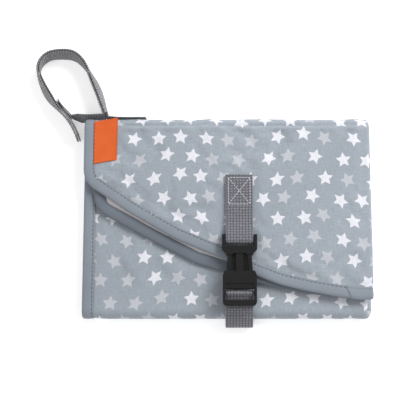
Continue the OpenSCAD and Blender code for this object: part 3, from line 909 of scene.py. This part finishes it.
def binding(mat, name, body, nodes):
    """Bias tape folded round the whole edge of one end of the mat."""
    outside = LIP + [(0.0, 0.0)] + [(d, -n) for d, n in LIP[::-1]]
    inside = HOLLOW + [(1.4, 0.0)] + [(d, -n) for d, n in HOLLOW[::-1]]
    profile = np.array(outside + inside[::-1]) * MM
    at = lengths(mat.edge)
    s = np.linspace(0, at[-1], int(round(at[-1] / (1.6 * MM))) + 1)[:, None]
    gather = 1 + 0.035 * np.sin(s / (3.1 * MM)) + 0.03 * np.sin(s / (8.3 * MM) + 2)
    d, n = profile.T
    seam = ease((d - 2 * MM) / (5 * MM)) * (np.abs(n) > 1.2 * MM)
    rings = mat.along_edge(s + 0 * d, d + 0 * s, n * (1 + (gather - 1) * seam))
    piece = tube(name, rings, coords(s, lengths(profile)), 60)
    finish(piece, BINDING, body, nodes)
    if mat is FLAP:
        paint_shade_on_inner_half(piece, np.interp(BACK_X + FOLD_LEN / 2, mat.edge[:, 0], at))


def stitch_row(mat, s, d, n):
    """Points along the bound edge and their normals, as a row for stitch_mesh."""
    on = mat.along_edge(s, d, n)
    return on, unit(mat.along_edge(s, d, n + 0.2 * MM) - on)


def binding_seam(mat, name, body):
    """The row of stitches that holds the binding, on the printed side."""
    s = np.arange(0, lengths(mat.edge)[-1], 0.8 * MM)
    piece = stitch_mesh(name, [stitch_row(mat, s, STITCH_IN, STITCH_UP)])
    finish(piece, THREAD_GREY, body)


def binding_join():
    """The turned-under end of the flap's bias tape, lapped over its start at a slant."""
    lap_x, slant, thick = 114 * MM, 0.66, 0.25 * MM
    at = lengths(FLAP.edge)
    start = float(np.interp(lap_x, FLAP.edge[:, 0], at))
    stop = float(np.interp(BACK_X + 0.2 * MM, FLAP.edge[:, 0], at))
    share = np.linspace(0, 1, 22)[:, None]
    top_lip = np.array([(11.3, 1.1)] + LIP + [(-0.25, 0.0), (0.5, -1.0), (1.5, -1.6)]) * MM
    d, n = top_lip.T
    s = start - slant * d + share * (stop - start + slant * d)
    lap = 0.45 * MM * ease(share * 20) + 0.04 * MM
    sides = []
    for lift in (lap, lap - thick):
        sides.append(FLAP.along_edge(s, d + 0 * s - lift * 0.3, n + lift * np.sign(n + 0.1 * MM)))
    piece = slab("binding_join_flap", *sides, coords(s, d), 50)
    finish(piece, BINDING, "crown")
    # Close-set dark stitches along the lap's slanted edge: a seam, and also painted shade for the
    # crease line under the lap
    d = np.linspace(10.6, 0.6, 26) * MM
    n = np.interp(d, *(np.array(LIP[::-1]).T * MM))
    rows = [stitch_row(FLAP, start - 0.4 * MM - slant * d, d, n)]
    seam = stitch_mesh("binding_join_seam_and_shade_line", rows, 2.4 * MM, 0.95, 0.26 * MM)
    finish(seam, THREAD_GREY, "crown")


quilt(PAD, "pad", "pad", PAD_PARTS)
quilt(FLAP, "flap", "crown", FLAP_PARTS)
binding(PAD, "edge_binding_pad", "pad", [
    "back_outer_binding", "back_inner_binding", "front_outer_binding", "front_inner_binding",
    "bottom_fold_binding", "top_fold_binding"])
binding(FLAP, "edge_binding_flap", "crown", [
    "flap_outer_binding", "flap_inner_binding", "crown_binding"])
binding_join()
binding_seam(PAD, "binding_seam_pad", "pad")
binding_seam(FLAP, "binding_seam_flap", "crown")


# ------------ straps and tag

SIDE = np.array([1.0, 0, 0])
UPRIGHT = np.array([0, 0, 1.0])


def strap_path(points):
    """A strap's middle line from (y, z) points in millimetres."""
    p = np.array(points, float) * MM
    return coords(STRAP_X, p[:, 0], p[:, 1])


def line(points):
    """A smooth run of (y, z) points, as a list that joins on to arcs."""
    return [tuple(p) for p in spline(points, 6)]


upper_run = (line([(38, 26.55), (0, 26.55), (-12, 26.65), (-19, 27.6)])
             + arc(-24, 30.4, 2.75, -72, -252, 14)
             + line([(-19, 32.7), (-12, 30.2), (0, 28.25), (38, 28.25)]))
front_run = arc(-73, 30.2, 2.45, 0, 168, 12) + line(
    [(-77.4, 29), (-80, 27.5), (-86, 26), (-90, 23), (-93.5, 20.6)])
tail_run = line([(-70.55, 29.9), (-71.1, 27.8), (-74.2, 26), (-79, 25.3), (-86, 23.7),
                 (-89, 20.4), (-93, 17.6)])
loop_run = line([(-93.2, 20.9), (-98, 17), (-101.8, 12.5), (-102.5, 7.5), (-100.5, 3.2),
                 (-96.5, 1.1), (-92, 0.8), (-88.1, 0.8)])


def strap(name, points, body, node):
    """A strap of the closure, a little thinner than its solid so that its turns stay apart."""
    piece = webbing(name, strap_path(points), SIDE, STRAP_W, 0.94 * WEB_T, STRAP_RIBS, 0.18 * MM)
    finish(piece, WEB_UPPER, body, [node])


strap("strap_upper", upper_run, "flap", "upper_strap")
strap("strap_lower_front", front_run, "socket", "lower_strap_front")
strap("strap_lower_tail", tail_run, "socket", "lower_strap_tail")
strap("strap_lower_loop", loop_run, "slide", "lower_strap_loop")
strap("strap_lower_back", [(-87.6, 0.8), (STRAP_END_Y / MM, 0.8)], "pad", "lower_strap_back")


def box_stitches():
    """A box of stitches with a cross."""
    z = high("strap_stitches")[2] - 0.22 * MM
    x0, x1, y0, y1 = 0.8, 21.2, 10.0, 35.0
    runs = [[(x0, y0), (x1, y0)], [(x1, y0), (x1, y1)], [(x1, y1), (x0, y1)],
            [(x0, y1), (x0, y0)], [(x0, y0), (x1, y1)], [(x0, y1), (x1, y0)]]
    rows = []
    for run in runs:
        p = resample(np.array([(x * MM, y * MM, z) for x, y in run]), 0.5 * MM)
        rows.append((p, np.broadcast_to(UPRIGHT, p.shape)))
    piece = stitch_mesh("strap_box_stitch", rows, 2.7 * MM, 0.82, 0.33 * MM)
    finish(piece, THREAD_LIGHT, "flap", ["strap_stitches"])


box_stitches()

# Plan routes in millimetres: the long strap's loop, and the short strap up to its patch
wrist_route = [(-116.4, 99), (-120, 110), (-125.5, 126.5), (-133.5, 143), (-141, 154),
               (-150, 160.3), (-163, 161.3), (-173.5, 159), (-180.5, 152), (-182, 143.5),
               (-178.3, 132), (-172, 120), (-162.7, 108.3), (-153.6, 98.5), (-147.5, 89.5),
               (-142.4, 78)]
short_route = [(-117.6, 97.7), (-122, 97.4), (-128, 97), (-137, 96.9), (-144.5, 97.9)]
tape_run = spline(wrist_route, 4)
hook_run = tape_run[47:54]


def left_of(path, offset):
    """A plan path in millimetres, moved to its left."""
    p = np.array(path, float)
    return p - right_normals(p) * offset


LOOP_MIDDLE = np.array([-152, 125]) * MM


def leaning(p):
    """The way up a tape at each plan point: the loop's sides lean in, and its end leans out."""
    towards = unit(LOOP_MIDDLE - p)
    k = 0.24 * towards[:, :1] ** 2 - 0.12 * towards[:, 1:] ** 2
    up = np.hstack([towards * k, np.ones((len(p), 1))])
    joining = ease((p[:, 0] - LOOP_MIDDLE[0]) / (12 * MM)) * (p[:, 1] < 0.1)
    up[:, :2] = up[:, :2] * (1 - joining[:, None])
    up[:, 1] += 0.2 * joining
    return unit(up)


def upright_tape(name, path, width, thick, material, body, node, ribs=WRIST_RIBS):
    """Tape standing on its edge along a plan path in millimetres."""
    p = resample(spline(path, 4) * MM, 0.8 * MM)
    z = (low(node)[2] + high(node)[2]) / 2
    centre = np.column_stack([p, np.full(len(p), z)])
    up = UPRIGHT if node == "wrist_base" else leaning(p)
    piece = webbing(name, centre, up, width, thick, ribs, 0.12 * MM)
    finish(piece, material, body, [node])


upright_tape("wrist_tape_outer", left_of(tape_run, -1.3), WRIST_W, 1.9 * MM, WEB_WRIST,
             "wrist_long", "wrist_outer_tape")
upright_tape("wrist_tape_inner", left_of(tape_run, 0.95), WRIST_W, 1.3 * MM, WEB_WRIST,
             "wrist_long", "wrist_inner_tape")
upright_tape("wrist_hook_tape", left_of(hook_run, 1.82), WRIST_W - 3 * MM, 0.7 * MM, PILE,
             "wrist_long", "wrist_hook_patch", 1)
upright_tape("wrist_loop_tape", left_of(hook_run, 2.62), WRIST_W - 3 * MM, 0.7 * MM, PILE,
             "wrist_short", "wrist_loop_patch", 1)
short_path = np.vstack([short_route, left_of(hook_run, 4)[::-1]])
upright_tape("wrist_short_tape", spline(short_path, 3), WRIST_W, 1.3 * MM, WEB_WRIST,
             "peel", "wrist_short_strap")
upright_tape("wrist_base_tape", [(-77, 95.9), (-103, 95.9), (-114, 96.9)], WRIST_W,
             1.3 * MM, WEB_WRIST, "pad", "wrist_base")


def tape_stitches():
    """Stitches close to both selvedges of the wrist strap's outer tape."""
    plan = resample(left_of(tape_run, -2.2) * MM, 0.8 * MM)
    n = np.column_stack([right_normals(plan), np.zeros(len(plan))])
    middle = np.column_stack([plan, np.full(len(plan), WRIST_Z)])
    rise = leaning(plan) * (WRIST_W / 2 - 2.2 * MM)
    rows = [(middle - rise, n), (middle + rise, n)]
    piece = stitch_mesh("wrist_stitches_outer", rows, 3.0 * MM, 0.75, 0.2 * MM)
    finish(piece, THREAD_GREY, "wrist_long")


tape_stitches()


def woven_tag():
    """The orange tag: sewn in at its left edge, its free side lifting a little."""
    lo, hi = low("label"), high("label")
    width, height = hi[0] - lo[0], hi[1] - lo[1]
    a = np.linspace(0, 1, 24)[:, None]
    b = np.linspace(0, 1, 44)[None, :]
    x = lo[0] - 0.8 * MM + a * (width + 0.3 * MM) + 0.6 * MM * a * (b - 0.5)
    y = lo[1] + 3.5 * MM * a + b * (height - 3.5 * MM)
    sag = ease((y - TOP_Y) / (13 * MM)) * 1.6 * MM * (1 - a)
    curl = 0.9 * MM * a ** 2 + 0.3 * MM * np.sin(4 * a + 7 * b) * a
    z = lo[2] + 0.25 * MM - 0.35 * MM * (1 - a) + curl - sag
    sides = [coords(x, y, z + lift) for lift in (0.22 * MM, -0.22 * MM)]
    piece = slab("woven_tag", *sides, coords(a, b * height), 60)
    finish(piece, TAG, "crown", ["label"])


woven_tag()


# ------------ buckle

def moulded(name, node, body, width=0.45 * MM):
    """A moulded part: the CAD shape with its edges rounded."""
    bm = bmesh.new()
    bm.from_mesh(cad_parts[node].data)
    bmesh.ops.remove_doubles(bm, verts=bm.verts, dist=1e-6)
    bmesh.ops.dissolve_limit(bm, angle_limit=math.radians(2), verts=bm.verts, edges=bm.edges)
    mesh = bpy.data.meshes.new(name)
    bm.to_mesh(mesh)
    bm.free()
    piece = bpy.data.objects.new(name, mesh)
    scene.collection.objects.link(piece)
    bevel = piece.modifiers.new("rounded", "BEVEL")
    bevel.width = width
    bevel.segments = 3
    bevel.limit_method = "ANGLE"
    bevel.angle_limit = math.radians(32)
    mesh.polygons.foreach_set("use_smooth", np.ones(len(mesh.polygons), bool))
    piece.modifiers.new("shading", "WEIGHTED_NORMAL")
    finish(piece, PLASTIC, body, [node])


def plug_web():
    """The thin web between the plug's tongue and its arms, short of the socket's mouth."""
    z0, z1 = high("upper_strap")[2] - 6.4 * MM, low("plug_arm_left")[2] - 0.3 * MM
    y0, y1 = high("socket")[1] + 0.4 * MM, high("plug_arm_left")[1] + 1.5 * MM
    half = np.array([(8.6, y0 / MM), (9.6, -48), (9.4, -44), (8.8, -41), (9.2, y1 / MM)])
    edge = resample(half * MM, 0.8 * MM)
    share = np.linspace(-1, 1, 24)
    x, y = STRAP_X + edge[:, :1] * share, edge[:, 1:]
    dish = 0.3 * MM * (1 - share ** 2)
    sides = coords(x, y, z1 - dish), coords(x, y, z0)
    piece = slab("buckle_plug_web", *sides, coords(x, y), 40)
    finish(piece, PLASTIC, "flap")


plug_web()
moulded("buckle_plug", "plug_body", "flap")
moulded("buckle_arm_left", "plug_arm_left", "arm_left", 0.35 * MM)
moulded("buckle_arm_right", "plug_arm_right", "arm_right", 0.35 * MM)
moulded("buckle_socket", "socket", "socket")


# ------------ camera, light and floor

def add_camera():
    """Nearly overhead, 10 degrees towards the bottom edge."""
    data = bpy.data.cameras.new("camera")
    data.lens = 86.4
    camera = bpy.data.objects.new("camera", data)
    camera.location = (-0.018, -0.1547, 0.9417)
    camera.rotation_euler = (math.radians(10), 0, 0)
    scene.collection.objects.link(camera)
    scene.camera = camera


def add_area(name, location, size, power):
    """A square light that faces the origin."""
    data = bpy.data.lights.new(name, "AREA")
    data.shape = "SQUARE"
    data.size = size
    data.energy = power
    light = bpy.data.objects.new(name, data)
    light.location = location
    x, y, z = location
    light.rotation_euler = (math.atan2(math.hypot(x, y), z), 0, math.atan2(x, -y))
    scene.collection.objects.link(light)


def add_floor():
    """A wide floor, just under the part and a shade higher at its far edges."""
    size, n, drop, dish = 3.0, 13, 0.2 * MM, 0.9 * MM
    at = np.linspace(-size, size, n)
    x, y = np.meshgrid(at, at, indexing="ij")
    z = dish * (np.hypot(x, y) / size) ** 2 - drop
    faces = grid_faces(np.arange(n * n).reshape(n, n)).tolist()
    floor = add_object("floor", coords(x, y, z), faces)
    floor.data.materials.append(floor_finish())


add_camera()
add_floor()
add_area("key", (0.85, 0.8, 1.15), 0.8, 21)
add_area("fill", (-0.7, -0.5, 1.5), 1.4, 5)
world = bpy.data.worlds.new("studio")
world.use_nodes = True
background = world.node_tree.nodes["Background"].inputs
background["Color"].default_value = (1, 1, 1, 1)
background["Strength"].default_value = 0.46
scene.world = world
scene.view_settings.view_transform = "Standard"
